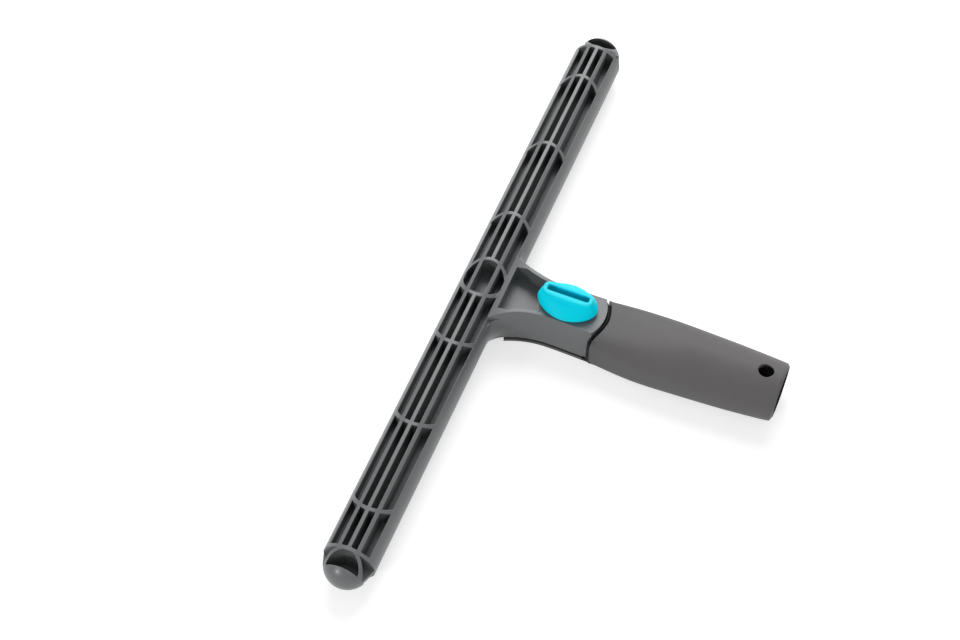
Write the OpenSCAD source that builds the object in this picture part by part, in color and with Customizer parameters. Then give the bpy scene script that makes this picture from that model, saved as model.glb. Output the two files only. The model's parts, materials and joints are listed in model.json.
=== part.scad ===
// Swivelling T-bar of a window scrubber: a ribbed bar that takes a cloth sleeve,
// a lockable pivot with a turning knob, and a soft grip over a socket for a pole.
// X runs along the handle, Y along the bar, Z up. Millimetres.

/* [Bar] */
// Length of the bar from tip to tip
bar_len = 348; // [278:5:448]
// Outer diameter of the bar
bar_d = 26; // [25:0.5:28]
// Thickness of the middle web
web_t = 2; // [1.6:0.2:3]
// Thickness of the three long fins
fin_t = 1.75; // [1.4:0.05:2]
// Distance between the long fins
fin_pitch = 4.75; // [4.4:0.05:5]
// Half the clear width between the side walls
wall_x = 9.8; // [9.4:0.1:10.2]
// Height of the side walls' upper edges above the middle web's centre
wall_z = 7.5; // [6.5:0.25:8]
// Thickness of the curved cross ribs
rib_t = 1.7; // [1.2:0.1:2.2]
// Distance from the bar's middle to the first cross rib
rib_first = 41.1; // [38:0.5:46]
// Distance from each cross rib to the next
rib_step = 48.6; // [40:0.5:50]
// Centre radius of the ring in the middle of the bar
ring_r = 11; // [10.6:0.1:11.4]
// Distance from the bar's tip to the end plates' outer faces
nose_len = 13.1; // [12.8:0.1:14]
// Radius of the rounded nose at each end
nose_r = 11.5; // [11.2:0.1:12]
// Outer radius of the open cup in each nose
cup_r = 9.6; // [9:0.1:10]
// Wall thickness of the end cups
cup_wall = 1.6; // [1.2:0.1:2]
// Distance from the bar's tip to the middle of the end cup
cup_in = 5.4; // [5:0.1:6]

/* [Neck] */
// Height of the neck's top above the bar's axis
neck_top = 12.8; // [12:0.1:13.2]
// Height of the neck's underside, measured down from the bar's axis
neck_low = 9.3; // [8.8:0.1:9.6]
// Width of the neck's underside at its waist
waist_w = 22.8; // [22:0.2:24]
// Width of the neck's top at its waist
waist_top_w = 20.4; // [20:0.2:22]
// Width gained from the waist to the neck's round end
end_gain = 1; // [0:0.2:2]
// Radius of the neck's round end about the pivot
end_r = 19.7; // [19:0.1:21]
// Distance from the bar's axis to the pivot
pivot_x = 44.5; // [44:0.5:60]
// Radius of the long flares between neck and bar
flare_r = 50; // [46:1:56]
// Radius of the short fillets where the neck meets the bar
root_r = 7; // [6:0.5:8]
// Wall thickness round the neck's open pocket
pocket_wall = 1.8; // [1.4:0.1:2.4]
// Radius of the hub wall that ends the pocket
hub_r = 14; // [12:0.2:15]
// Radius of the two round chambers in the hub
chamber_r = 9; // [8.9:0.05:9.2]

/* [Handle] */
// Gap between the neck and the handle all round
swing_gap = 0.5; // [0.4:0.05:0.8]
// Thickness of the core's rim that shows at the gap
rim_t = 0.9; // [0.6:0.1:1.4]
// Distance from the bar's axis to the handle's open end
handle_end = 155.4; // [140:0.2:180]
// Distance from the bar's axis to the end of the tongue
tongue_end = 17.5; // [16.5:0.5:20]
// Thickness of the core's tongue under the neck
tongue_t = 1.6; // [1.4:0.1:1.9]
// Half the grip's width where it starts
grip_a0 = 13.2; // [12.8:0.1:14]
// Half the grip's largest width
grip_a1 = 16.4; // [15.6:0.1:18]
// Half the grip's width at its open end
grip_a2 = 14.8; // [14.4:0.1:15.4]
// Half the grip's height at its open end
grip_b2 = 14.6; // [14.4:0.1:15]
// Radius of the pole socket
socket_r = 11; // [10.5:0.1:11.4]
// Depth of the pole socket
socket_len = 65; // [50:1:70]
// Wall thickness of the socket tube
socket_wall = 1.9; // [1.4:0.1:2.2]
// Radius of the hanging hole
hang_r = 4; // [3:0.1:4.5]
// Distance from the handle's open end to the hanging hole
hang_in = 9.4; // [8.5:0.1:14]

/* [Knob] */
// Length of the knob
knob_len = 30.4; // [27:0.2:33]
// Width of the knob
knob_w = 20.2; // [17:0.2:22]
// Height of the knob above the neck
knob_h = 10.9; // [9:0.1:12.5]
// Length of the knob's ridge
ridge_len = 24.6; // [22:0.2:26]
// Width of the knob's ridge
ridge_w = 6.8; // [5.6:0.2:7.6]
// Length of the slot in the ridge
slot_len = 21; // [17:0.2:21.6]
// Width of the slot in the ridge
slot_w = 2.6; // [2:0.1:3]
// Depth of the slot in the ridge
slot_d = 3.4; // [2:0.1:4]
// Radius of the knob's stem
stem_r = 6; // [5.6:0.1:6.2]

/* [Lock] */
// Number of locking teeth
teeth = 12; // [8:4:16]
// Height of the locking teeth
tooth_h = 1.8; // [1.2:0.1:2]
// Travel of the sliding lock collar
travel = 1.9; // [1.5:0.1:2]
// Radius of the pivot bolt
bolt_r = 3; // [2.5:0.05:3.1]
// Running clearance round the pivot bolt
run_gap = 0.05; // [0.02:0.01:0.1]
// Clearance between pieces that pass each other
pass_gap = 0.3; // [0.25:0.05:0.35]
// Thickness of the release spring's wire
wire_d = 0.8; // [0.6:0.05:0.9]
// Turns of the release spring
spring_turns = 4; // [3:0.5:4]

/* [Hidden] */
$fn = 96;

bar_r = bar_d / 2;
half_len = bar_len / 2;
cup_y = half_len - cup_in;
nose_y = half_len - nose_r;
plate_y = half_len - nose_len - rib_t / 2;
rib_n = floor((plate_y - rib_first - rib_step / 4) / rib_step) + 1;
through = bar_d + 2;

neck_h = neck_top + neck_low;
gap_r = end_r + swing_gap;
rim_r = gap_r + rim_t;
tongue_top = -neck_low - pass_gap;
tongue_low = tongue_top - tongue_t;

body_grey = "#4c4d4f";
grip_grey = "#5b5856";
knob_blue = "#00c4dc";
core_black = "#1c1c1e";
acetal_white = "#dcdad2";
steel_grey = "#b4b6b9";

// Puts the whole model over its resting face's middle.
module place() {
    translate([-(handle_end - bar_r) / 2, 0, bar_r])
        children();
}

// Everything that turns with the handle, or sits on the pivot, is drawn about the pivot.
module at_pivot() {
    translate([pivot_x, 0, 0])
        children();
}

module ring(outer, inner, height) {
    difference() {
        cylinder(r = outer, h = height);
        translate([0, 0, -1])
            cylinder(r = inner, h = height + 2);
    }
}

// One curved cross rib in plan, bowed towards the bar's end.
module rib_2d(y) {
    intersection() {
        translate([0, y - bar_r])
            difference() {
                circle(r = bar_r + rib_t / 2);
                circle(r = bar_r - rib_t / 2);
            }
        translate([-bar_r, y - bar_r])
            square([bar_d, bar_d]);
    }
}

// The solid walls of the bar in plan: fins, ribs, middle ring and end plates.
module bar_walls_2d(slot_x) {
    for (x = [-fin_pitch, fin_pitch])
        translate([x - fin_t / 2, -half_len])
            square([fin_t, bar_len]);
    for (s = [-1, 1]) {
        scale_y(s)
            translate([-fin_t / 2, ring_r])
                square([fin_t, half_len - ring_r]);
        for (i = [0 : rib_n - 1])
            scale_y(s)
                rib_2d(rib_first + i * rib_step);
        scale_y(s)
            translate([-bar_r, plate_y - rib_t / 2])
                square([bar_d, rib_t]);
        scale_y(s)
            translate([0, cup_y])
                circle(r = cup_r);
        translate([s > 0 ? slot_x : -slot_x - bar_r, -half_len])
            square([bar_r, bar_len]);
    }
    difference() {
        circle(r = ring_r + rib_t / 2);
        circle(r = ring_r - rib_t / 2);
    }
}

module scale_y(s) {
    if (s > 0)
        children();
    else
        mirror([0, 1])
            children();
}

// The open cells between the walls, in plan.
module cells_2d(slot_x) {
    difference() {
        translate([-bar_r, -plate_y])
            square([bar_d, 2 * plate_y]);
        bar_walls_2d(slot_x);
    }
}

// The nose about the bar's axis: a shoulder of two cones that runs into a round cap.
module nose_shape() {
    edge = plate_y + rib_t / 2;
    rotate([-90, 0, 0]) {
        translate([0, 0, edge - 1])
            cylinder(r = bar_r - 0.2, h = 1);
        translate([0, 0, edge])
            cylinder(r1 = bar_r - 0.2, r2 = bar_r - 1.2, h = 2.8);
        translate([0, 0, edge + 2.8])
            cylinder(r1 = bar_r - 1.2, r2 = bar_r - 2.3, h = 2.8);
    }
    translate([0, nose_y, 0])
        sphere(r = nose_r);
}

// One end of the bar: the middle web runs out to the nose and carries a round open cup.
module bar_end() {
    floor_z = -cup_r * 0.6;
    difference() {
        intersection() {
            nose_shape();
            union() {
                translate([-bar_r, plate_y, -web_t / 2])
                    cube([bar_d, half_len, web_t]);
                translate([0, cup_y, -bar_r])
                    cylinder(r = cup_r, h = bar_d);
            }
        }
        intersection() {
            translate([0, cup_y, floor_z])
                cylinder(r = cup_r - cup_wall, h = bar_d);
            translate([-bar_r, 0, floor_z])
                cube([bar_d, cup_y, bar_d]);
        }
        intersection() {
            translate([0, nose_y, 0])
                sphere(r = nose_r - cup_wall);
            translate([0, cup_y, floor_z])
                cylinder(r = cup_r - cup_wall, h = bar_d);
            translate([-bar_r, cup_y - 0.01, floor_z])
                cube([bar_d, bar_r, bar_d]);
        }
    }
}

// The neck's outline is an arc (the flare) beside a straight waist and a round end.
flare_x = pivot_x - 5.5;
flare_y = waist_w / 2 + flare_r;
lean = atan((waist_w - waist_top_w) / 2 / neck_h);
// Centre of the root fillet, which touches both the bar and the flare.
root_x = bar_r + root_r;
root_y = flare_y - sqrt(pow(flare_r - root_r, 2) - pow(flare_x - root_x, 2));
meet = [flare_x, flare_y] + ([root_x, root_y] - [flare_x, flare_y]) * flare_r / (flare_r - root_r);

// Half the neck's plan (y > 0) at its underside.
module neck_half_2d() {
    difference() {
        translate([bar_r - 5, 0])
            square([flare_x - bar_r + 5, bar_r * 2]);
        translate([flare_x, flare_y])
            circle(r = flare_r);
    }
    polygon([[flare_x - 0.01, 0], [flare_x - 0.01, waist_w / 2], [pivot_x, waist_w / 2],
        [pivot_x + end_r, (waist_w + end_gain) / 2], [pivot_x + end_r, 0]]);
}

// Plan outline of the neck's underside, which the tongue below it follows.
module neck_2d() {
    intersection() {
        union() {
            neck_half_2d();
            mirror([0, 1])
                neck_half_2d();
        }
        union() {
            translate([0, -bar_d])
                square([pivot_x, 2 * bar_d]);
            translate([pivot_x, 0])
                circle(r = end_r);
        }
    }
}

// Root fillets turned about the bar's axis, so they run out smoothly on its round surface.
module neck_roots() {
    intersection() {
        rotate([-90, 0, 0])
            rotate_extrude()
                for (m = [0, 1])
                    mirror([0, m])
                        difference() {
                            polygon([[bar_r - 2, 0], [bar_r - 2, root_y], [root_x, root_y], meet, [meet.x, 0]]);
                            translate([root_x, root_y])
                                circle(r = root_r);
                        }
        translate([0, -bar_d, -bar_r])
            cube([bar_d, 2 * bar_d, bar_d]);
    }
}

// The neck's solid body: two leaning halves, a middle block and the root fillets.
module neck_body() {
    intersection() {
        union() {
            for (m = [0, 1])
                mirror([0, m, 0])
                    translate([0, 0, -neck_low])
                        rotate([lean, 0, 0])
                            translate([0, 0, -3])
                                linear_extrude(height = neck_h + 6)
                                    neck_half_2d();
            translate([bar_r - 5, -3, -neck_low])
                cube([pivot_x + end_r - bar_r + 5, 6, neck_h]);
        }
        union() {
            translate([0, -bar_d, -bar_r])
                cube([pivot_x, 2 * bar_d, 2 * bar_r]);
            at_pivot()
                translate([0, 0, -bar_r])
                    cylinder(r = end_r, h = 2 * bar_r);
        }
        neck_side();
    }
    intersection() {
        neck_roots();
        neck_side();
    }
}

// The neck's side profile: flat at the pivot and falling gently to the bar.
module neck_side() {
    fall_r = 49;
    fall_x = bar_r + 15;
    rotate([90, 0, 0])
        linear_extrude(height = bar_len / 4, center = true)
            union() {
                translate([fall_x, -neck_low])
                    square([pivot_x + end_r, neck_h]);
                intersection() {
                    translate([0, -neck_low])
                        square([fall_x + 0.01, neck_h]);
                    translate([fall_x, neck_top - fall_r])
                        circle(r = fall_r);
                }
            }
}

// Plan of the neck's open pocket, inside its walls and up to the round hub.
module pocket_2d() {
    inner_w = waist_top_w / 2 - pocket_wall;
    difference() {
        translate([bar_r - 0.4, -bar_r])
            square([pivot_x - bar_r, bar_d]);
        translate([pivot_x, 0])
            circle(r = hub_r);
        for (m = [0, 1])
            mirror([0, m]) {
                translate([flare_x, inner_w + flare_r])
                    circle(r = flare_r);
                translate([0, bar_r + 0.4])
                    square([bar_r * 2, bar_r]);
            }
    }
}

module tee_bar() {
    color(body_grey)
        difference() {
            union() {
                rotate([-90, 0, 0])
                    translate([0, 0, -plate_y - rib_t / 2])
                        cylinder(r = bar_r, h = 2 * plate_y + rib_t);
                bar_end();
                mirror([0, 1, 0])
                    bar_end();
                neck_body();
            }
            // open cells above and below the middle web
            for (m = [0, 1])
                mirror([0, 0, m]) {
                    translate([0, 0, web_t / 2])
                        linear_extrude(height = bar_r)
                            cells_2d(wall_x);
                    translate([0, 0, wall_z])
                        linear_extrude(height = bar_r)
                            intersection() {
                                cells_2d(wall_x + 0.9);
                                if (m == 0)
                                    translate([-bar_r, -half_len])
                                        square([bar_r + wall_x, bar_len]);
                                else
                                    square([bar_d, bar_len], center = true);
                            }
                }
            // the neck's pocket
            translate([0, 0, web_t / 2])
                linear_extrude(height = neck_top)
                    pocket_2d();
            // the hub's chambers, the seat of the retaining ring and the bush's bore
            at_pivot() {
                translate([0, 0, -neck_low - 1])
                    cylinder(r = chamber_r, h = neck_low + 1 - web_low);
                translate([0, 0, web_high])
                    cylinder(r = chamber_r - 0.6, h = neck_top);
                translate([0, 0, ring_low])
                    cylinder(r = chamber_r, h = neck_top);
                translate([0, 0, -web_low - 1])
                    cylinder(r = bush_r, h = web_low + web_high + 2);
                leg_windows();
            }
        }
}

// Levels in the hub, from the middle web upwards and downwards.
web_high = 0.6;
web_low = 1.6;
ring_low = 9;
bush_r = bolt_r + 1.2;
leg_in = 6.5;
leg_out = 7.9;
leg_angle = 16;
cam_low = 5.6;
cam_high = 8.6;

module sector(outer, inner, angle, height) {
    rotate([0, 0, -angle / 2])
        rotate_extrude(angle = angle)
            translate([inner, 0])
                square([outer - inner, height]);
}

// Quarter or less of a pie, wide enough to cut the cam's ramps from a tube.
module pie_2d(from, to) {
    reach = 2 * leg_out;
    mid = (from + to) / 2;
    polygon([
        [0, 0],
        reach * [cos(from), sin(from)],
        reach * [cos(mid), sin(mid)],
        reach * [cos(to), sin(to)]
    ]);
}

// Two windows in the web that the collar's legs slide through.
module leg_windows() {
    for (a = [90, 270])
        rotate([0, 0, a])
            translate([0, 0, -web_low - 1])
                sector(leg_out + pass_gap, leg_in - pass_gap, leg_angle + 6, web_low + web_high + 2);
}

// Ring that closes the hub and guides the knob's stem.
module retaining_ring() {
    color(body_grey)
        at_pivot()
            difference() {
                translate([0, 0, ring_low])
                    cylinder(r = chamber_r, h = neck_top - ring_low);
                translate([0, 0, ring_low - 1])
                    cylinder(r = stem_r + run_gap, h = neck_top);
                translate([0, 0, neck_top - seal_d])
                    cylinder(r = stem_r + seal_d + pass_gap, h = neck_top);
            }
}
seal_d = 1.4;

module pivot_bush() {
    color(acetal_white)
        at_pivot()
            difference() {
                union() {
                    translate([0, 0, -web_low])
                        cylinder(r = bush_r, h = web_low + web_high);
                    translate([0, 0, web_high])
                        cylinder(r = bush_r + 1.4, h = bush_flange);
                }
                translate([0, 0, -web_low - 1])
                    cylinder(r = bolt_r + run_gap, h = web_low + web_high + bush_flange + 2);
            }
}
bush_flange = 0.8;
washer_low = web_high + bush_flange;
washer_t = 0.6;
nut_low = washer_low + washer_t;
nut_h = 2.2;

// The knob's mound: sections that grow from a long ridge at the top to an oval at the base.
module knob_mound(low) {
    levels = 10;
    sides = 56;
    function power(v, n) = sign(v) * pow(abs(v), 2 / n);
    function swell(h) = pow(1 - h, 0.8);
    function section(h) = let (a = (ridge_len + (knob_len - ridge_len) * swell(h)) / 2,
        b = (ridge_w + (knob_w - ridge_w) * swell(h)) / 2, n = 3.2 - 1.25 * swell(h))
        [for (k = [0 : sides - 1]) let (t = 360 * (k + 0.5) / sides)
            [a * power(cos(t), n), b * power(sin(t), n), low + (knob_h - pass_gap) * h]];
    points = [for (i = [0 : levels]) each section(i / levels)];
    walls = [for (i = [0 : levels - 1], k = [0 : sides - 1], t = [0, 1])
        let (a = i * sides + k, b = i * sides + (k + 1) % sides)
            t == 0 ? [a, b, b + sides] : [a, b + sides, a + sides]];
    polyhedron(points, concat(walls, [[for (k = [0 : sides - 1]) k]],
        [[for (k = [sides - 1 : -1 : 0]) levels * sides + k]]));
}

// The knob: a mound with a slotted ridge, on a round stem.
module lock_knob() {
    knob_low = neck_top + pass_gap;
    stem_low = nut_low + nut_h + 0.2;
    color(knob_blue)
        at_pivot()
            difference() {
                union() {
                    knob_mound(knob_low);
                    translate([0, 0, cam_high])
                        cylinder(r = stem_r, h = knob_low - cam_high + 1);
                    translate([0, 0, stem_low])
                        intersection() {
                            cylinder(r = key_r, h = cam_high - stem_low + 0.5);
                            translate([-key_flat, -key_r, 0])
                                cube([2 * key_flat, 2 * key_r, cam_high]);
                        }
                }
                translate([0, 0, neck_top + knob_h - slot_d])
                    linear_extrude(height = slot_d + 1)
                        square([slot_len, slot_w], center = true);
                translate([0, 0, stem_low - 1])
                    cylinder(r = bolt_r + run_gap, h = bolt_top - stem_low + 1 + pass_gap);
                // groove of the clip
                translate([0, 0, clip_low])
                    ring(key_r + 1, groove_r, clip_t);
            }
}
key_r = 4.9;
key_flat = 4.3;
groove_r = 4.1;
clip_t = 0.7;
clip_low = cam_low - clip_t - 0.05;
bolt_top = 10.5;

module knob_seal() {
    color(core_black)
        at_pivot()
            translate([0, 0, neck_top - seal_d / 2 + 0.1])
                rotate_extrude()
                    translate([stem_r + seal_d / 2, 0])
                        circle(r = seal_d / 2);
}

// Ring keyed to the stem: two ramps under it push the collar's legs down over a quarter turn.
module cam_ring() {
    steps = 12;
    color(acetal_white)
        at_pivot() {
            difference() {
                translate([0, 0, cam_low])
                    cylinder(r = leg_out + 0.2, h = cam_high - cam_low);
                translate([0, 0, cam_low - 1])
                    intersection() {
                        cylinder(r = key_r, h = cam_high);
                        translate([-key_flat, -key_r, 0])
                            cube([2 * key_flat, 2 * key_r, cam_high]);
                    }
            }
            intersection() {
                translate([0, 0, cam_low - travel])
                    difference() {
                        cylinder(r = leg_out, h = travel + 0.3);
                        translate([0, 0, -1])
                            cylinder(r = leg_in - 0.2, h = travel + 3);
                    }
                for (side = [0, 180])
                    for (i = [0 : steps - 1])
                        rotate([0, 0, side + 90 - leg_angle / 2 - 2])
                            translate([0, 0, cam_low - travel * (i + 1) / steps])
                                linear_extrude(travel + 2)
                                    pie_2d(-i * 90 / steps, -90);
            }
        }
}

module knob_clip() {
    color(steel_grey)
        at_pivot()
            translate([0, 0, clip_low])
                difference() {
                    ring(groove_r + 1.9, groove_r, clip_t);
                    translate([groove_r - 3, -2, -1])
                        cube([9, 4, 3]);
                }
}

// Ring of face teeth between two radii.
module face_teeth(outer, inner, height, turn) {
    for (i = [0 : teeth - 1])
        rotate([0, 0, turn + i * 360 / teeth])
            sector(outer, inner, 360 / teeth / 2 - 3, height);
}

collar_r = chamber_r - pass_gap;
teeth_in = 5.4;
index_base = 2;
index_top = tongue_top + index_base + tooth_h;
collar_low = index_top + 0.4;
collar_top = collar_low + tooth_h + 1.6;
spring_pocket = 4.8;

// Sliding collar: teeth below, two legs that reach up through the web.
module lock_collar() {
    color(acetal_white)
        at_pivot() {
            difference() {
                translate([0, 0, collar_low + tooth_h])
                    cylinder(r = collar_r, h = 1.6);
                translate([0, 0, collar_low])
                    cylinder(r = bolt_r + 0.4, h = 6);
                translate([0, 0, collar_low])
                    cylinder(r = spring_pocket, h = tooth_h + 0.8);
            }
            translate([0, 0, collar_low])
                face_teeth(collar_r, teeth_in, tooth_h + 0.1, 180 / teeth);
            for (a = [90, 270])
                rotate([0, 0, a])
                    translate([0, 0, collar_top - 0.1])
                        sector(leg_out, leg_in, leg_angle, cam_low - pass_gap - collar_top + 0.1);
        }
}

// Toothed ring fixed in the tongue.
module index_ring() {
    color(steel_grey)
        at_pivot() {
            difference() {
                translate([0, 0, tongue_top])
                    cylinder(r = collar_r, h = index_base);
                translate([0, 0, tongue_top - 1])
                    cylinder(r = bolt_r, h = index_base + 2);
                translate([0, 0, tongue_top + 0.8])
                    cylinder(r = spring_pocket, h = index_base);
            }
            translate([0, 0, tongue_top + index_base - 0.1])
                face_teeth(collar_r, teeth_in, tooth_h + 0.1, 0);
        }
}

// Release spring: one round wire wound in a helix, seated flat at both ends.
module release_spring() {
    low = tongue_top + 0.8 + wire_d / 2;
    high = collar_low + tooth_h + 0.8 - wire_d / 2;
    coil_r = spring_pocket - wire_d / 2 - pass_gap;
    around = 18;
    sides = 6;
    rings = around * spring_turns;
    // The wire lies level for the first and last half turn and climbs steadily between.
    function climb(i) = min(1, max(0, (i / around - 0.5) / (spring_turns - 1)));
    function centre(i) = [coil_r * cos(360 * i / around), coil_r * sin(360 * i / around),
        low + (high - low) * climb(i)];
    function rim_point(i, k) = let (a = 360 * i / around, b = 360 * k / sides)
        centre(i) + wire_d / 2 * [cos(a) * cos(b), sin(a) * cos(b), sin(b)];
    points = [for (i = [0 : rings], k = [0 : sides - 1]) rim_point(i, k)];
    walls = [for (i = [0 : rings - 1], k = [0 : sides - 1], t = [0, 1])
        let (a = i * sides + k, b = i * sides + (k + 1) % sides)
            t == 0 ? [a, b, b + sides] : [a, b + sides, a + sides]];
    first = [for (k = [1 : sides - 2]) [0, k + 1, k]];
    last = [for (k = [1 : sides - 2]) rings * sides * [1, 1, 1] + [0, k, k + 1]];
    color(steel_grey)
        at_pivot()
            polyhedron(points, concat(walls, first, last));
}

// Bolt: flat head in the tongue, plain shank up to the knob.
module pivot_bolt() {
    color(steel_grey)
        at_pivot() {
            translate([0, 0, head_low])
                cylinder(r = head_r, h = head_t);
            translate([0, 0, head_low])
                cylinder(r = bolt_r, h = bolt_top - head_low);
        }
}
head_r = 5;
head_t = 1.2;
cap_t = 0.9;
head_low = -bar_r + cap_t;

module thrust_washer() {
    color(steel_grey)
        at_pivot()
            translate([0, 0, washer_low])
                ring(bush_r + 1.6, bolt_r, washer_t);
}

module bolt_nut() {
    color(steel_grey)
        at_pivot()
            difference() {
                translate([0, 0, nut_low])
                    cylinder(r = 5.6, h = nut_h, $fn = 6);
                translate([0, 0, nut_low - 1])
                    cylinder(r = bolt_r, h = nut_h + 2);
            }
}

module bolt_cap() {
    color(core_black)
        at_pivot()
            translate([0, 0, -bar_r])
                cylinder(r = head_r + 0.2, h = cap_t);
}

// Half width, half height and squareness of the grip's section, from its start to its open end.
function ease(t) = t * t * (3 - 2 * t);
function grip_u(x) = (x - pivot_x - 15) / (handle_end - pivot_x - 15);
function grip_a(u) = u < 0.45
    ? grip_a0 + (grip_a1 - grip_a0) * sin(90 * u / 0.45)
    : grip_a1 + (grip_a2 - grip_a1) * ease((u - 0.45) / 0.55);
function grip_b(u) = grip_b0 + (grip_b2 - grip_b0) * sin(90 * min(1, u / 0.6));
function grip_n(u) = 2 + 4 * pow(1 - u, 2.6);
grip_b0 = (bar_r + neck_top) / 2;

// The grip's outer skin: superellipse sections whose undersides lie in one plane.
module grip_skin() {
    stations = 22;
    sides = 44;
    start = pivot_x + 13;
    function power(v, n) = sign(v) * pow(abs(v), 2 / n);
    function section(x) = let (u = max(0, grip_u(x)), a = grip_a(u), b = grip_b(u), n = grip_n(u))
        [for (k = [0 : sides - 1]) let (t = 360 * (k + 0.5) / sides)
            [x, a * power(cos(t), n), b - bar_r + b * power(sin(t), n)]];
    points = [for (i = [0 : stations]) each section(start + (handle_end - start) * i / stations)];
    walls = [for (i = [0 : stations - 1], k = [0 : sides - 1], t = [0, 1])
        let (a = i * sides + k, b = i * sides + (k + 1) % sides)
            t == 0 ? [a, b + sides, b] : [a, a + sides, b + sides]];
    front = [[for (k = [0 : sides - 1]) k]];
    back = [[for (k = [sides - 1 : -1 : 0]) stations * sides + k]];
    polyhedron(points, concat(walls, front, back));
}

socket_z = grip_b2 - bar_r;
socket_out = socket_r + socket_wall;

// The tongue's plan: the neck's outline, cut off square short of the bar.
module tongue_2d() {
    intersection() {
        neck_2d();
        translate([tongue_end, -bar_len / 2])
            square([bar_len, bar_len]);
    }
}

// Black core: tongue, rim at the gap, and the socket tube inside the grip.
module core_inside() {
    translate([pivot_x + end_r - 6, -grip_a0 + 3.4, tongue_low])
        cube([handle_end - socket_len - pivot_x - end_r + 6, 2 * grip_a0 - 6.8, 2 * grip_b0 - 5]);
    translate([handle_end - socket_len - 3, 0, socket_z])
        rotate([0, 90, 0])
            cylinder(r = socket_out, h = socket_len + 3);
}

module handle_core() {
    color(core_black)
        difference() {
            union() {
                difference() {
                    union() {
                        core_inside();
                        intersection() {
                            grip_skin();
                            at_pivot()
                                translate([0, 0, tongue_low])
                                    cylinder(r = rim_r, h = through);
                        }
                    }
                    at_pivot()
                        translate([0, 0, tongue_top])
                            cylinder(r = gap_r, h = through);
                }
                translate([0, 0, tongue_low])
                    linear_extrude(height = tongue_t) {
                        tongue_2d();
                        translate([pivot_x + end_r - 6, -waist_w / 2 + 1.5])
                            square([8, waist_w - 3]);
                    }
                at_pivot()
                    translate([0, 0, -bar_r])
                        cylinder(r = boss_r, h = tongue_top + bar_r);
            }
            at_pivot() {
                translate([0, 0, -through])
                    cylinder(r = bolt_r, h = 2 * through);
                translate([0, 0, -through])
                    cylinder(r = head_r + 0.2, h = through - bar_r + cap_t + head_t);
            }
            translate([handle_end - socket_len, 0, socket_z])
                rotate([0, 90, 0])
                    cylinder(r = socket_r, h = socket_len + 1);
            hang_hole();
        }
}
boss_r = 7.5;

module hang_hole() {
    translate([handle_end - hang_in, 0, -through])
        cylinder(r = hang_r, h = 3 * through);
}

// Soft grip moulded round the core, with a thin tray under the tongue.
module grip_sleeve() {
    color(grip_grey)
        difference() {
            union() {
                difference() {
                    grip_skin();
                    at_pivot()
                        translate([0, 0, tongue_low])
                            cylinder(r = rim_r, h = through);
                    core_inside();
                }
                translate([0, 0, -bar_r])
                    linear_extrude(height = bar_r + tongue_low)
                        tongue_2d();
            }
            at_pivot()
                translate([0, 0, -through])
                    cylinder(r = boss_r, h = through + tongue_low);
            translate([pivot_x + end_r - 6, -waist_w / 2 + 1.5, tongue_low])
                cube([8, waist_w - 3, tongue_t]);
            hang_hole();
        }
}

place() tee_bar();
place() retaining_ring();
place() pivot_bush();
place() lock_knob();
place() knob_seal();
place() cam_ring();
place() knob_clip();
place() lock_collar();
place() release_spring();
place() index_ring();
place() pivot_bolt();
place() thrust_washer();
place() bolt_nut();
place() bolt_cap();
place() handle_core();
place() grip_sleeve();
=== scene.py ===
import json
import math

import bpy
import numpy as np
from mathutils import Matrix, Vector
from mathutils.bvhtree import BVHTree


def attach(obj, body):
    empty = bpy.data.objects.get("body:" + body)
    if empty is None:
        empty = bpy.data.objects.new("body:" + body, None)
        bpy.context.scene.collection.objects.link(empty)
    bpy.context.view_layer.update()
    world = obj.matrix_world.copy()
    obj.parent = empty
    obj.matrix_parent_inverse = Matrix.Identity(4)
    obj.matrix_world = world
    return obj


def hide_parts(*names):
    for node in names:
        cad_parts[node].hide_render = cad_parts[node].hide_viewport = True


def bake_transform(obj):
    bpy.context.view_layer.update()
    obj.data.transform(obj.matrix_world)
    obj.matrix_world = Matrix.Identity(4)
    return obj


# Bare T-bar of a window scrubber: ribbed nylon bar and neck, cyan lock knob, soft grip.
# Units are metres, in the CAD frame: +X towards the open grip end, +Y along the bar, +Z up.

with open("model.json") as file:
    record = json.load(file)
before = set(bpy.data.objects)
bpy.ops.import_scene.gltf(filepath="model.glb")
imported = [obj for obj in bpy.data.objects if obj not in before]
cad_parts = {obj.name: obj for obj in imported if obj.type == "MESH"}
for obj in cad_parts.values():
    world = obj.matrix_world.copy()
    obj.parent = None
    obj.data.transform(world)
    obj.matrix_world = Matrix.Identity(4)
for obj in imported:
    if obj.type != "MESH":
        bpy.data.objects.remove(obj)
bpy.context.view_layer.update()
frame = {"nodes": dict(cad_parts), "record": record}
nodes = frame["nodes"]
scene = bpy.context.scene
mm = 0.001
pivot = (-26.7 * mm, 0.0)
print("frame loaded,", len(nodes), "nodes")


def linearColor(code):
    # sRGB hex to linear RGBA
    srgb = [int(code[i : i + 2], 16) / 255 for i in (1, 3, 5)]
    return [c / 12.92 if c <= 0.04045 else ((c + 0.055) / 1.055) ** 2.4 for c in srgb] + [1.0]


def addNode(tree, kind, settings=None, inputs=None):
    # one node with its settings, and its inputs set to a value or linked to a socket
    node = tree.nodes.new(kind)
    for name, value in (settings or {}).items():
        setattr(node, name, value)
    for name, value in (inputs or {}).items():
        if isinstance(value, bpy.types.NodeSocket):
            tree.links.new(value, node.inputs[name])
        else:
            node.inputs[name].default_value = value
    return node


def emptyMaterial(name):
    material = bpy.data.materials.new(name)
    material.use_nodes = True
    material.node_tree.nodes.clear()
    return material, material.node_tree


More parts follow.
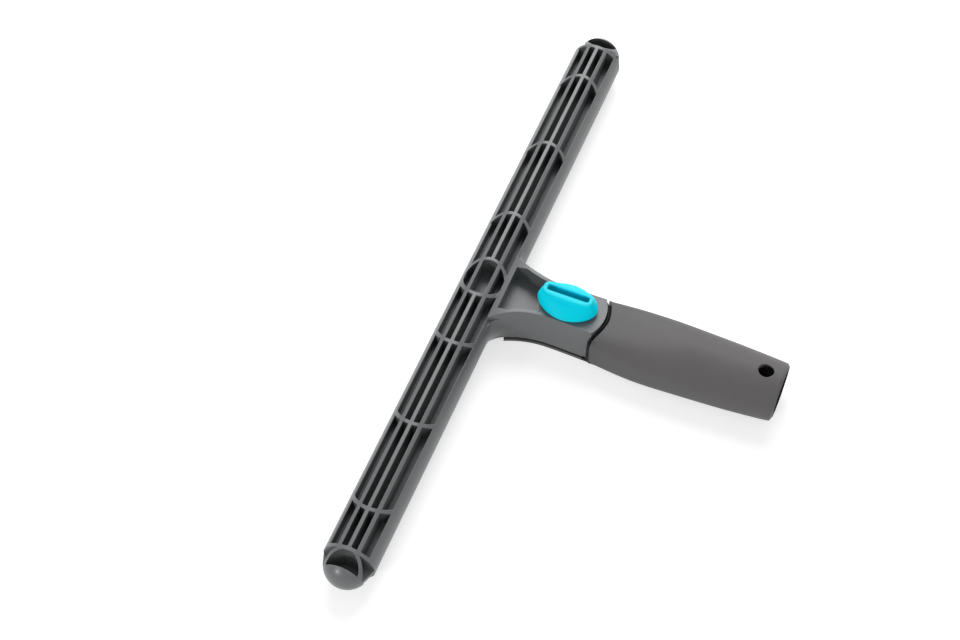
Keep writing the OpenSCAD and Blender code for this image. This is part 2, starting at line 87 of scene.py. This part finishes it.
def mouldedSurface(name, look):
    # A moulded plastic or rubber: base colour with faint cloudy flow, paler edges that are part wear and part
    # painted highlight, a fine spark-eroded grain in bump and roughness, and rounded edges in the shading.
    material, tree = emptyMaterial(name)
    place = addNode(tree, "ShaderNodeTexCoord").outputs["Object"]
    flow = addNode(
        tree,
        "ShaderNodeTexNoise",
        inputs={"Vector": place, "Scale": 1 / (look["flowMm"] * mm), "Detail": 3.0, "Roughness": 0.55},
    )
    grain = addNode(
        tree,
        "ShaderNodeTexNoise",
        inputs={"Vector": place, "Scale": 1 / (look["grainMm"] * mm), "Detail": 2.0, "Roughness": 0.6},
    )
    rounded = addNode(
        tree, "ShaderNodeBevel", {"samples": 6}, {"Radius": look["edgeMm"] * mm}
    ).outputs["Normal"]
    geometry = addNode(tree, "ShaderNodeNewGeometry")
    facing = addNode(
        tree,
        "ShaderNodeVectorMath",
        {"operation": "DOT_PRODUCT"},
        {0: rounded, 1: geometry.outputs["Normal"]},
    )
    # painted highlight, with some wear: edges, where the rounded bevel normal turns away from the face's
    # normal, are mixed towards the paler edge colour
    edgeWearAndHighlight = addNode(
        tree,
        "ShaderNodeMapRange",
        inputs={"Value": facing.outputs["Value"], "From Min": 0.99, "From Max": 0.75, "To Max": look["edgeWearAndHighlight"]},
    )
    clouds = addNode(
        tree,
        "ShaderNodeMapRange",
        inputs={"Value": flow.outputs["Fac"], "From Min": 0.3, "From Max": 0.7},
    )
    base = addNode(
        tree,
        "ShaderNodeMix",
        {"data_type": "RGBA"},
        {0: clouds.outputs["Result"], 6: linearColor(look["color"]), 7: linearColor(look["cloud"])},
    )
    speckled = addNode(
        tree,
        "ShaderNodeMapRange",
        inputs={"Value": grain.outputs["Fac"], "From Min": 0.25, "From Max": 0.75,
                "To Min": 1 - look["speck"], "To Max": 1 + look["speck"]},
    )
    toned = addNode(
        tree,
        "ShaderNodeVectorMath",
        {"operation": "SCALE"},
        {0: base.outputs[2], "Scale": speckled.outputs["Result"]},
    )
    scuffedAndLitColor = addNode(
        tree,
        "ShaderNodeMix",
        {"data_type": "RGBA"},
        {0: edgeWearAndHighlight.outputs["Result"], 6: toned.outputs["Vector"], 7: linearColor(look["edge"])},
    )
    if "crown" in look:
        # the ridge's top is painted paler: part thumb wear, part painted highlight where it faces the lamp
        crown = look["crown"]
        height = addNode(tree, "ShaderNodeSeparateXYZ", inputs={0: place}).outputs["Z"]
        thumbRubAndHighlight = addNode(
            tree,
            "ShaderNodeMapRange",
            {"interpolation_type": "SMOOTHSTEP"},
            {"Value": height, "From Min": crown["fromMm"] * mm, "From Max": crown["toMm"] * mm,
             "To Max": crown["share"]},
        )
        scuffedAndLitColor = addNode(
            tree,
            "ShaderNodeMix",
            {"data_type": "RGBA"},
            {0: thumbRubAndHighlight.outputs["Result"], 6: scuffedAndLitColor.outputs[2], 7: linearColor(look["edge"])},
        )
    if "paintedRecessShade" in look:
        # painted shade: where ambient occlusion finds the surface closed in, as in narrow slots, the colour
        # is mixed towards a darker one
        paintedRecessShade = look["paintedRecessShade"]
        openness = addNode(
            tree, "ShaderNodeAmbientOcclusion", {"samples": 8}, {"Distance": paintedRecessShade["reachMm"] * mm}
        ).outputs["AO"]
        shade = addNode(
            tree,
            "ShaderNodeMapRange",
            inputs={"Value": openness, "From Min": paintedRecessShade["toShare"], "From Max": paintedRecessShade["fromShare"]},
        )
        scuffedAndLitColor = addNode(
            tree,
            "ShaderNodeMix",
            {"data_type": "RGBA"},
            {0: shade.outputs["Result"], 6: scuffedAndLitColor.outputs[2], 7: linearColor(paintedRecessShade["color"])},
        )
    rough = addNode(
        tree,
        "ShaderNodeMapRange",
        inputs={"Value": grain.outputs["Fac"], "From Min": 0.3, "From Max": 0.7,
                "To Min": look["rough"] - 0.05, "To Max": look["rough"] + 0.05},
    )
    bump = addNode(
        tree,
        "ShaderNodeBump",
        inputs={"Strength": look["grainStrength"], "Distance": look["grainDepthMm"] * mm,
                "Height": grain.outputs["Fac"], "Normal": rounded},
    )
    shader = addNode(
        tree,
        "ShaderNodeBsdfPrincipled",
        inputs={"Base Color": scuffedAndLitColor.outputs[2], "Roughness": rough.outputs["Result"],
                "Normal": bump.outputs["Normal"], "IOR": look["ior"], **look.get("shader", {})},
    )
    addNode(tree, "ShaderNodeOutputMaterial", inputs={"Surface": shader.outputs[0]})
    return material


def turnedSteel(name, look):
    # Zinc-plated steel with rings left by turning, 0.2 mm apart, about the pivot.
    material, tree = emptyMaterial(name)
    place = addNode(tree, "ShaderNodeTexCoord").outputs["Object"]
    centred = addNode(
        tree, "ShaderNodeMapping", inputs={"Vector": place, "Location": (-pivot[0], 0, 0)}
    ).outputs["Vector"]
    rings = addNode(
        tree,
        "ShaderNodeTexWave",
        {"wave_type": "RINGS", "rings_direction": "Z"},
        {"Vector": centred, "Scale": 1 / (look["ringMm"] * mm * 20), "Distortion": 1.5, "Detail": 2.0},
    )
    stain = addNode(
        tree,
        "ShaderNodeTexNoise",
        inputs={"Vector": place, "Scale": 1 / (look["stainMm"] * mm), "Detail": 4.0},
    )
    base = addNode(
        tree,
        "ShaderNodeMix",
        {"data_type": "RGBA"},
        {0: stain.outputs["Fac"], 6: linearColor(look["color"]), 7: linearColor(look["cloud"])},
    )
    rough = addNode(
        tree,
        "ShaderNodeMapRange",
        inputs={"Value": rings.outputs["Fac"], "To Min": look["rough"] - 0.07, "To Max": look["rough"] + 0.1},
    )
    rounded = addNode(tree, "ShaderNodeBevel", {"samples": 6}, {"Radius": 0.15 * mm})
    bump = addNode(
        tree,
        "ShaderNodeBump",
        inputs={"Strength": 0.3, "Distance": 0.01 * mm, "Height": rings.outputs["Fac"],
                "Normal": rounded.outputs["Normal"]},
    )
    shader = addNode(
        tree,
        "ShaderNodeBsdfPrincipled",
        inputs={"Base Color": base.outputs[2], "Metallic": 1.0, "Roughness": rough.outputs["Result"],
                "Normal": bump.outputs["Normal"]},
    )
    addNode(tree, "ShaderNodeOutputMaterial", inputs={"Surface": shader.outputs[0]})
    return material


# Glass-filled nylon of the bar and neck: satin, a dark neutral grey, polished by use (the thin coat)
satinNylon = {
    # edge and wear: the rib edges are painted paler, part wear and part painted highlight
    "color": "#666869", "cloud": "#6b6d6e", "edge": "#a4a7a9", "edgeWearAndHighlight": 0.7, "speck": 0.05,
    "flowMm": 22, "grainMm": 0.45, "grainDepthMm": 0.03, "grainStrength": 0.35,
    "edgeMm": 0.4, "rough": 0.38, "ior": 1.5,
    "shader": {"Coat Weight": 0.2, "Coat Roughness": 0.25},
    # painted shade in the slots between the ribs
    "paintedRecessShade": {"color": "#444547", "reachMm": 7.0, "fromShare": 0.12, "toShare": 0.45},
}
# Black nylon of the inner handle: nearly black and more matt
blackNylon = {
    "color": "#0b0b0c", "cloud": "#0e0e0f", "edge": "#1c1c1d", "edgeWearAndHighlight": 0.3, "speck": 0.05,
    "flowMm": 20, "grainMm": 0.45, "grainDepthMm": 0.03, "grainStrength": 0.3,
    "edgeMm": 0.3, "rough": 0.55, "ior": 1.4,
    "shader": {"Specular IOR Level": 0.25},
}
# Soft-touch elastomer of the grip: matt and warm, it scatters a faint sheen
softGrip = {
    "color": "#626060", "cloud": "#666464", "edge": "#807e7e", "edgeWearAndHighlight": 0.3, "speck": 0.06,
    "flowMm": 30, "grainMm": 0.5, "grainDepthMm": 0.05, "grainStrength": 0.45,
    "edgeMm": 0.6, "rough": 0.62, "ior": 1.45,
    "shader": {"Sheen Weight": 0.12, "Sheen Roughness": 0.5},
}
# Cyan knob, acetal copolymer: bright and smooth, its edges paler, part wear and part painted highlight; a
# faint emission paints a glow that brightens its shaded flanks
cyanAcetal = {
    # edge and wear: the knob's edges are painted paler, part wear and part painted highlight
    "color": "#00e0ff", "cloud": "#00e4ff", "edge": "#78ecfc", "edgeWearAndHighlight": 0.6, "speck": 0.02,
    "flowMm": 12, "grainMm": 0.6, "grainDepthMm": 0.02, "grainStrength": 0.2,
    "edgeMm": 0.4, "rough": 0.42, "ior": 1.48,
    "shader": {
        # a faint emission paints light onto the knob, brightening its shaded flanks
        "Specular IOR Level": 0.08, "Emission Color": (0.0, 0.78, 1.0, 1.0), "Emission Strength": 0.15,
        "Subsurface Weight": 0.6, "Subsurface Scale": 5 * mm,
        "Subsurface Radius": (0.2, 0.9, 1.0),
    },
    # crown: painted highlight, with some wear, on the ridge's top
    "crown": {"fromMm": 35.6, "toMm": 36.5, "share": 0.3},
    # painted shade in the knob's slot
    "paintedRecessShade": {"color": "#004a68", "reachMm": 5.0, "fromShare": 0.3, "toShare": 0.72},
}
# Natural acetal of the bush, collar and cam: waxy white
whiteAcetal = {
    "color": "#dcdad3", "cloud": "#e2e0da", "edge": "#efeee9", "edgeWearAndHighlight": 0.4, "speck": 0.02,
    "flowMm": 10, "grainMm": 0.5, "grainDepthMm": 0.01, "grainStrength": 0.2,
    "edgeMm": 0.2, "rough": 0.38, "ior": 1.48,
}
# Black nitrile of the seal
nitrile = {
    "color": "#151515", "cloud": "#1a1a1a", "edge": "#2a2a2a", "edgeWearAndHighlight": 0.3, "speck": 0.05,
    "flowMm": 8, "grainMm": 0.4, "grainDepthMm": 0.02, "grainStrength": 0.3,
    "edgeMm": 0.15, "rough": 0.5, "ior": 1.5,
}
zincSteel = {"color": "#b9bbbd", "cloud": "#a9acaf", "ringMm": 0.2, "stainMm": 5, "rough": 0.3}

finishes = {
    "bar_plastic": mouldedSurface("satinNylon", satinNylon),
    "core_plastic": mouldedSurface("blackNylon", blackNylon),
    "grip_rubber": mouldedSurface("softGripElastomer", softGrip),
    "knob_plastic": mouldedSurface("cyanAcetal", cyanAcetal),
    "acetal": mouldedSurface("whiteAcetal", whiteAcetal),
    "seal_rubber": mouldedSurface("blackNitrile", nitrile),
    "steel": turnedSteel("zincPlatedSteel", zincSteel),
}
slotOf = {row["node"]: row["material_slot"] for row in frame["record"]["subparts"]}
for name, node in nodes.items():
    node.data.materials.clear()
    node.data.materials.append(finishes[slotOf[name]])
print("materials made")


def addPiece(name, points, faces, body, slotName, sharpDeg=32):
    # one mesh piece in the row frame, smooth but for edges sharper than sharpDeg
    mesh = bpy.data.meshes.new(name)
    mesh.from_pydata(np.asarray(points).tolist(), [], faces)
    mesh.validate()
    mesh.shade_smooth()
    mesh.set_sharp_from_angle(angle=math.radians(sharpDeg))
    mesh.materials.append(finishes[slotName])
    piece = bpy.data.objects.new(name, mesh)
    scene.collection.objects.link(piece)
    if body:
        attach(piece, body)
    return piece


def smoothCopy(nodeName, name, body, sharpDeg=30):
    # a merged copy of a CAD node, shaded smooth over its facets
    source = nodes[nodeName].data
    count = len(source.vertices)
    points = np.empty(count * 3)
    source.vertices.foreach_get("co", points)
    points = points.reshape(-1, 3)
    keys = np.round(points / (0.0005 * mm)).astype(np.int64)
    _, first, merged = np.unique(keys, axis=0, return_index=True, return_inverse=True)
    corners = np.empty(len(source.loops), dtype=np.int64)
    source.loops.foreach_get("vertex_index", corners)
    triangles = merged.reshape(-1)[corners].reshape(-1, 3)
    kept = (
        (triangles[:, 0] != triangles[:, 1])
        & (triangles[:, 1] != triangles[:, 2])
        & (triangles[:, 2] != triangles[:, 0])
    )
    piece = addPiece(name, points[first], triangles[kept].tolist(), body, slotOf[nodeName], sharpDeg)
    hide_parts(nodeName)
    return piece


# The grip's section, from its front (0) to its open end (1): the solid's plain ovals are reshaped
# to the moulded ones, squarer below and rounder on top. Sizes are in mm: half width, height of
# the widest line and height of the crown.
gripShape = {
    "startX": -11.7, "endX": 84.2, "frontRadius": 21.1, "groove": 0.8, "rimSink": 0.9,
    "endChamfer": 1.1, "skinFrom": 0.9, "skinTo": 0.98, "onOutline": 0.985, "tableTop": 0.3,
    "heldFromX": -5, "heldToX": 60, "skinInset": 0.94, "coreInset": 0.9,
    "stations": [0, 0.25, 0.5, 0.75, 1.0],
    "half": [13.45, 16.24, 16.82, 16.01, 14.88],
    "centre": [12.07, 12.91, 14.47, 14.51, 14.51], "crown": [24.14, 25.82, 28.94, 29.02, 29.02],
    "squareLow": [6.5, 5.2, 3.7, 3.1, 2.2], "squareTop": [4.9, 3.0, 1.95, 1.9, 1.75],
}


def solidSection(u):
    # half width, half height and squareness of the solid's ovals: sine rise, then an eased fall
    rise = 13.2 + 3.2 * np.sin(math.pi / 2 * np.minimum(u, 0.45) / 0.45)
    fall = np.clip((u - 0.45) / 0.55, 0, 1)
    half = np.where(u < 0.45, rise, 16.4 - 1.6 * fall**2 * (3 - 2 * fall))
    height = 12.9 + 1.7 * np.sin(math.pi / 2 * np.minimum(u / 0.6, 1))
    return half, height, 2 + 4 * (1 - u) ** 2.6


def smoothKnots(u, knots, values):
    # cubic through the knots, with each inner slope the mean of its two sides
    knots, values = np.array(knots, float), np.array(values, float)
    steps = np.diff(values) / np.diff(knots)
    slopes = np.concatenate([[steps[0]], (steps[1:] + steps[:-1]) / 2, [steps[-1]]])
    i = np.clip(np.searchsorted(knots, u) - 1, 0, len(knots) - 2)
    width = knots[i + 1] - knots[i]
    t = (u - knots[i]) / width
    low = values[i] * (1 + 2 * t) * (1 - t) ** 2 + slopes[i] * width * t * (1 - t) ** 2
    return low + values[i + 1] * t**2 * (3 - 2 * t) - slopes[i + 1] * width * t**2 * (1 - t)


def reshapeGrip(piece, groove, sink):
    # outer points keep their angle on the section and move to the new oval; inner ones stay
    shape, mesh = gripShape, piece.data
    points = np.empty(len(mesh.vertices) * 3)
    mesh.vertices.foreach_get("co", points)
    x, y, z = (points.reshape(-1, 3) / mm).T
    u = np.clip((x - shape["startX"]) / (shape["endX"] - shape["startX"]), 0, 1)
    half, height, square = solidSection(u)
    across, above = np.abs(y / half), np.abs((z - height) / height)
    ratio = (across**square + above**square) ** (1 / square)
    safe = np.maximum(ratio, 1e-6)
    cosine, sine = (across / safe) ** (square / 2), (above / safe) ** (square / 2)
    newHalf, centre, crown, low, top = (
        smoothKnots(u, shape["stations"], shape[key])
        for key in ("half", "centre", "crown", "squareLow", "squareTop")
    )
    rise = np.where(z > height, crown - centre, centre)
    power = 2 / np.where(z > height, top, low)
    newY = newHalf * np.sign(y) * cosine**power * ratio
    newZ = centre + rise * np.sign(z - height) * sine**power * ratio
    share = (ratio - shape["skinFrom"]) / (shape["skinTo"] - shape["skinFrom"])
    onSkin = np.clip(share, 0, 1) * (x > shape["startX"] - 2) * (z > shape["tableTop"])
    y, z = y + (newY - y) * onSkin, z + (newZ - z) * onSkin
    # hidden walls are kept inside the new skin
    level = z - centre
    power, rise = np.where(level > 0, top, low), np.where(level > 0, crown - centre, centre)
    depth = (np.abs(y / newHalf) ** power + np.abs(level / rise) ** power) ** (1 / power)
    inset = shape["coreInset"] if sink else shape["skinInset"]
    inner = (ratio < shape["onOutline"]) & (x > shape["heldFromX"]) & (x < shape["heldToX"])
    held = np.where(inner & (depth > inset), inset / depth, 1)
    y, z = y * held, centre + level * held
    fromPivot = np.hypot(x - pivot[0] / mm, y)
    # the grip's open end is chamfered
    if not sink:
        rimEnd = (ratio > shape["onOutline"]) & (x > shape["endX"] - 0.1)
        x = x - shape["endChamfer"] * rimEnd
    if sink:
        # the black rim lies below the grip's skin: its flanks by the full sink, its top by a part
        rim = (onSkin > 0) & (fromPivot < shape["frontRadius"] + 0.3)
        lowered = sink * np.clip((np.abs(y) - 4) / 4, 0, 1) * rim
        y = y - np.sign(y) * lowered
        z = z - 0.6 * sink * rim * np.clip((z - 14) / 5, 0, 1)
    # a groove between the grip's front and the black rim
    front = (np.abs(fromPivot - shape["frontRadius"]) < 0.35) & (x > shape["startX"] - 6)
    stretch = np.where(front, 1 + groove / fromPivot, 1.0)
    x, y = (x - pivot[0] / mm) * stretch + pivot[0] / mm, y * stretch
    mesh.vertices.foreach_set("co", (np.stack([x, y, z], 1) * mm).ravel())
    mesh.update()


gripSkin = smoothCopy("grip_sleeve", "gripSkin", "handle")
innerHandle = smoothCopy("handle_core", "innerHandle", "handle")
reshapeGrip(gripSkin, gripShape["groove"], 0)
reshapeGrip(innerHandle, 0, gripShape["rimSink"])

# The release spring stands in the index ring, between the head and the collar that comes down on it, and
# lifts the collar.
# Its smooth copy is attached to no body, with its placement baked into its points.
spring = smoothCopy("release_spring", "releaseSpring", None, 40)
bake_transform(spring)

# The lock knob, as one closed surface of rings about the pivot: from the top of its bolt bore
# down, round the stem, out under the mound, up over its widest outline, the dome and the ridge
# and down into the slot. Sizes are in mm; Z is above the table. The bore ends 3.4 mm lower than
# the solid's and the clip's groove is left out: the bolt's end and the clip are buried, unseen.
knob = {
    "baseLength": 27.0, "baseWidth": 18.6, "baseZ": 26.1,
    "length": 31.0, "width": 20.6, "wideZ": 28.7, "wideSquare": 1.85,
    "footLength": 26.6, "footWidth": 9.8, "footZ": 34.2, "footSquare": 2.7,
    "ridgeLength": 25.4, "ridgeWidth": 8.0, "topZ": 36.7, "ridgeRound": 0.5,
    "slotLength": 21.6, "slotWidth": 3.5, "slotDepth": 5.2, "slotRound": 0.3,
    "stemRadius": 6.0, "keyRadius": 4.9, "keyFlat": 4.3, "keyTop": 21.6, "keyLow": 17.4,
    "boreRadius": 3.05, "boreTop": 20.4, "sides": 192, "keyChamfer": 0.2, "floorRound": 0.3,
    "domeFall": 1.1, "domeRise": 0.9, "ridgeSquare": 3.2, "slotSquare": 9,
}


def knobRings(spec):
    # Ring point: x = a sgn(cos t)|cos t|^(2/n), y = b sgn(sin t)|sin t|^(2/n), x held to +-flat.
    t = 2 * math.pi * (np.arange(spec["sides"]) + 0.5) / spec["sides"]
    c, s = np.cos(t), np.sin(t)

    def ring(a, b, n, z, flat=1e9):
        x = np.clip(a * np.sign(c) * np.abs(c) ** (2 / n), -flat, flat)
        y = b * np.sign(s) * np.abs(s) ** (2 / n)
        return np.stack([x, y, np.full_like(x, z)], 1)

    def between(low, high, share):
        return low + (high - low) * share

    # bolt bore, keyed end and round stem
    bore, key, flat = spec["boreRadius"], spec["keyRadius"], spec["keyFlat"]
    low, stem, edge = spec["keyLow"], spec["stemRadius"], spec["keyChamfer"]
    rings = [ring(bore * 0.02, bore * 0.02, 2, spec["boreTop"]), ring(bore, bore, 2, spec["boreTop"])]
    rings += [ring(bore, bore, 2, low + edge), ring(bore + edge, bore + edge, 2, low)]
    rings += [ring(key - edge, key - edge, 2, low, flat - edge)]
    rings += [ring(key, key, 2, low + edge, flat), ring(key, key, 2, spec["keyTop"], flat)]
    rings += [ring(stem, stem, 2, spec["keyTop"]), ring(stem, stem, 2, spec["baseZ"])]
    # skirt: quarter ellipse from the base out to the widest outline
    for angle in np.linspace(0, math.pi / 2, 10):
        a = between(spec["baseLength"], spec["length"], math.sin(angle)) / 2
        b = between(spec["baseWidth"], spec["width"], math.sin(angle)) / 2
        z = between(spec["baseZ"], spec["wideZ"], 1 - math.cos(angle))
        rings += [ring(a, b, spec["wideSquare"], z)]
    # dome: the section shrinks to the ridge's foot as (1 - h^fall)^rise, with h the share of its height
    for h in np.linspace(0, 1, 30)[1:] ** 0.85:
        grown = (1 - h ** spec["domeFall"]) ** spec["domeRise"]
        a = between(spec["footLength"], spec["length"], grown) / 2
        b = between(spec["footWidth"], spec["width"], grown) / 2
        n = between(spec["footSquare"], spec["wideSquare"], grown)
        rings += [ring(a, b, n, between(spec["wideZ"], spec["footZ"], h))]
    # ridge: a steep wall, then a rounded edge up to its flat top
    r = spec["ridgeRound"]
    a, b = spec["ridgeLength"] / 2, spec["ridgeWidth"] / 2
    for angle in np.linspace(0, math.pi / 2, 7):
        inset = r * (1 - math.cos(angle))
        z = spec["topZ"] - r + r * math.sin(angle)
        rings += [ring(a - inset, b - inset, spec["ridgeSquare"], z)]
    # slot: rounded mouth, wall, then a rounded floor
    a, b, q = spec["slotLength"] / 2, spec["slotWidth"] / 2, spec["slotRound"]
    square, floorRound = spec["slotSquare"], spec["floorRound"]
    for angle in np.linspace(0, math.pi / 2, 5):
        grow = q * (1 - math.sin(angle))
        rings += [ring(a + grow, b + grow, square, spec["topZ"] - q * (1 - math.cos(angle)))]
    floor = spec["topZ"] - spec["slotDepth"]
    for drop in (0.3, 0.8):
        rings += [ring(a, b, square, spec["topZ"] - spec["slotDepth"] * drop)]
    for angle in np.linspace(0.2, math.pi / 2, 4):
        shrink = floorRound * (1 - math.cos(angle))
        rings += [ring(a - shrink, b - shrink, square, floor + floorRound * (1 - math.sin(angle)))]
    rings += [ring(a * 0.9, 0.02, square, floor)]
    return np.array(rings)


def loftFaces(ringCount, sides):
    # quads between neighbouring rings, and a fan round a pole at either end
    i = np.arange(ringCount - 1)[:, None] * sides
    k = np.arange(sides)[None, :]
    n = (np.arange(sides)[None, :] + 1) % sides
    quads = np.stack([i + k, i + n, i + sides + n, i + sides + k], -1).reshape(-1, 4)
    low, high = ringCount * sides, ringCount * sides + 1
    top = (ringCount - 1) * sides
    fans = [[low, int(b), int(a)] for a, b in zip(k[0], n[0])]
    fans += [[high, int(top + a), int(top + b)] for a, b in zip(k[0], n[0])]
    return quads.tolist() + fans


rings = knobRings(knob)
flat = rings.reshape(-1, 3)
points = np.vstack([flat, rings[0].mean(0), rings[-1].mean(0)]) * mm + [pivot[0], 0, 0]
knobPiece = addPiece("lockKnob", points, loftFaces(len(rings), knob["sides"]), "knob", "knob_plastic", 50)
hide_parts("lock_knob")
print("pieces made:", len(points), "points in the knob")

# Fillets that blend the neck's side walls into the round bar, wider than the neck's own.
# Each is a closed shell: at every height a parabola runs from the bar's surface to the wall,
# level with both at its ends, and its back lies inside the nylon.
rootFillet = {
    "low": 3.7, "high": 19.6, "reach": 10.5, "narrowing": 0.38, "levels": 28, "steps": 18,
    "backMm": 1.6, "barX": -71.2, "barRadius": 13.0, "slopeStep": 1.5,
}


def wallProbe():
    # distance finder on the neck's own surface: y of the side wall at x and z, seen from outside
    mesh = nodes["tee_bar"].data
    corners = [v.co for v in mesh.vertices]
    surface = BVHTree.FromPolygons(corners, [p.vertices for p in mesh.polygons])

    def wallY(x, z, side):
        hit = surface.ray_cast(Vector((x * mm, side * 0.03, z * mm)), Vector((0, -side, 0)))[0]
        return hit.y / mm

    return wallY


def filletShell(spec, side, wallY):
    # grid point = (1-u)^2 A + 2u(1-u) C + u^2 B, with C where the tangents at A and B meet
    radius, step = spec["barRadius"], spec["slopeStep"]
    share = np.linspace(0, 1, spec["levels"])
    grid, back = [], []
    u = np.linspace(0, 1, spec["steps"])[:, None]
    for v in share:
        z = spec["low"] + (spec["high"] - spec["low"]) * v
        reach = spec["reach"] * (1 - spec["narrowing"] * v**2)
        barX = spec["barX"] + math.sqrt(radius**2 - (z - radius) ** 2)
        endX = barX + reach
        endY = wallY(endX, z, side)
        slope = (wallY(endX + step, z, side) - endY) / step
        cornerY = endY - slope * reach
        a = np.array([barX, cornerY + side * reach, z])
        c = np.array([barX, cornerY, z])
        b = np.array([endX, endY, z])
        curve = (1 - u) ** 2 * a + 2 * u * (1 - u) * c + u**2 * b
        grid += [curve]
        back += [curve + spec["backMm"] * np.array([-0.7, -0.7 * side, 0.0])]
    # one closed tube of rows: up the front, then down the back
    return np.concatenate([np.array(grid), np.array(back)[:, ::-1]], axis=1)


def tubeFaces(levels, around, flip):
    # quads round a tube of rows, closed by a strip of quads at the lowest and highest row
    i = np.arange(levels - 1)[:, None] * around
    k = np.arange(around)[None, :]
    n = (k + 1) % around
    quads = np.stack([i + k, i + n, i + around + n, i + around + k], -1).reshape(-1, 4)
    half = around // 2
    j = np.arange(half - 1)
    low = np.stack([j, around - 1 - j, around - 2 - j, j + 1], -1)
    top = (levels - 1) * around
    high = np.stack([j, j + 1, around - 2 - j, around - 1 - j], -1) + top
    faces = np.vstack([quads, low, high])
    return (faces[:, ::-1] if flip else faces).tolist()


probe = wallProbe()
for side, name in ((-1, "rootFilletNear"), (1, "rootFilletFar")):
    loop = filletShell(rootFillet, side, probe)
    faces = tubeFaces(loop.shape[0], loop.shape[1], side > 0)
    addPiece(name, loop.reshape(-1, 3) * mm, faces, "head", "bar_plastic", 40)
print("root fillets made")

# Studio: a white floor that keeps the shadow, pale world, a broad lamp behind, a broad fill and
# a small low lamp that draws the soft highlight on the bar's end
studio = {
    "floorColor": "#e0e0e0", "floorLift": 0.6, "worldStrength": 0.34,
    "lampSize": 0.9, "lampPower": 11.5, "lampPlace": (-0.3, 0.85, 0.95),
    "fillSize": 0.8, "fillPower": 1.4, "fillPlace": (0.6, -0.9, 0.7),
    "sparkSize": 0.14, "sparkPower": 2.7, "sparkPlace": (-0.45, -1.05, 0.35),
}


def backdropRays(tree):
    # 1 for rays that look at the backdrop: camera, mirror-like and see-through ones
    path = addNode(tree, "ShaderNodeLightPath")
    both = addNode(
        tree,
        "ShaderNodeMath",
        {"operation": "MAXIMUM"},
        {0: path.outputs["Is Camera Ray"], 1: path.outputs["Is Glossy Ray"]},
    )
    return addNode(
        tree,
        "ShaderNodeMath",
        {"operation": "MAXIMUM"},
        {0: both.outputs[0], 1: path.outputs["Is Transmission Ray"]},
    ).outputs[0]


def addFloor(look):
    half = 2.5
    mesh = bpy.data.meshes.new("studioFloor")
    corners = [(-half, -half, 0), (half, -half, 0), (half, half, 0), (-half, half, 0)]
    mesh.from_pydata(corners, [], [(0, 1, 2, 3)])
    floor = bpy.data.objects.new("studioFloor", mesh)
    scene.collection.objects.link(floor)
    material, tree = emptyMaterial("paperFloor")
    paper = addNode(tree, "ShaderNodeBsdfDiffuse", inputs={"Color": linearColor(look["floorColor"])})
    lift = addNode(
        tree,
        "ShaderNodeMath",
        {"operation": "MULTIPLY"},
        {0: backdropRays(tree), 1: look["floorLift"]},
    )
    glow = addNode(tree, "ShaderNodeEmission", inputs={"Color": (1, 1, 1, 1), "Strength": lift.outputs[0]})
    both = addNode(tree, "ShaderNodeAddShader", inputs={0: paper.outputs[0], 1: glow.outputs[0]})
    addNode(tree, "ShaderNodeOutputMaterial", inputs={"Surface": both.outputs[0]})
    mesh.materials.append(material)


def addWorld(look):
    world = bpy.data.worlds.new("paleStudio")
    scene.world = world
    world.use_nodes = True
    tree = world.node_tree
    tree.nodes.clear()
    strength = addNode(
        tree,
        "ShaderNodeMapRange",
        inputs={"Value": backdropRays(tree), "To Min": look["worldStrength"], "To Max": 1.0},
    )
    sky = addNode(
        tree,
        "ShaderNodeBackground",
        inputs={"Color": (1, 1, 1, 1), "Strength": strength.outputs["Result"]},
    )
    addNode(tree, "ShaderNodeOutputWorld", inputs={"Surface": sky.outputs[0]})


def addLamp(name, place, size, power, target=(0.0, 0.0, 0.015)):
    lamp = bpy.data.lights.new(name, "AREA")
    lamp.shape = "SQUARE"
    lamp.size = size
    lamp.energy = power
    holder = bpy.data.objects.new(name, lamp)
    scene.collection.objects.link(holder)
    aim = np.array(target) - np.array(place)
    back = -aim / np.linalg.norm(aim)
    side = np.cross([0, 1, 0], back)
    side /= np.linalg.norm(side)
    holder.matrix_world = lookMatrix(place, side, np.cross(back, side), back)


def lookMatrix(place, right, up, back):
    m = np.eye(4)
    m[:3, 0], m[:3, 1], m[:3, 2], m[:3, 3] = right, up, back, place
    return Matrix(m.tolist())


addFloor(studio)
addWorld(studio)
addLamp("softbox", studio["lampPlace"], studio["lampSize"], studio["lampPower"])
addLamp("fillPanel", studio["fillPlace"], studio["fillSize"], studio["fillPower"])
addLamp("sparkPanel", studio["sparkPlace"], studio["sparkSize"], studio["sparkPower"])

# Camera at the photo's angle, fitted to the bar's tips, the ribs, the knob and the grip
view = {
    "place": (0.1225, -0.4712, 0.7919), "lensMm": 69.7,
    "right": (0.9235, 0.3835, 0.0), "up": (-0.3243, 0.7809, 0.5339), "back": (0.2048, -0.4932, 0.8455),
}
camera = bpy.data.cameras.new("photoCamera")
camera.lens = view["lensMm"]
camera.sensor_width = 36
camera.clip_start = 0.05
camera.clip_end = 20
cameraHolder = bpy.data.objects.new("photoCamera", camera)
scene.collection.objects.link(cameraHolder)
cameraHolder.matrix_world = lookMatrix(view["place"], view["right"], view["up"], view["back"])
scene.camera = cameraHolder
scene.view_settings.view_transform = "Standard"
print("stage, lamps and camera set")
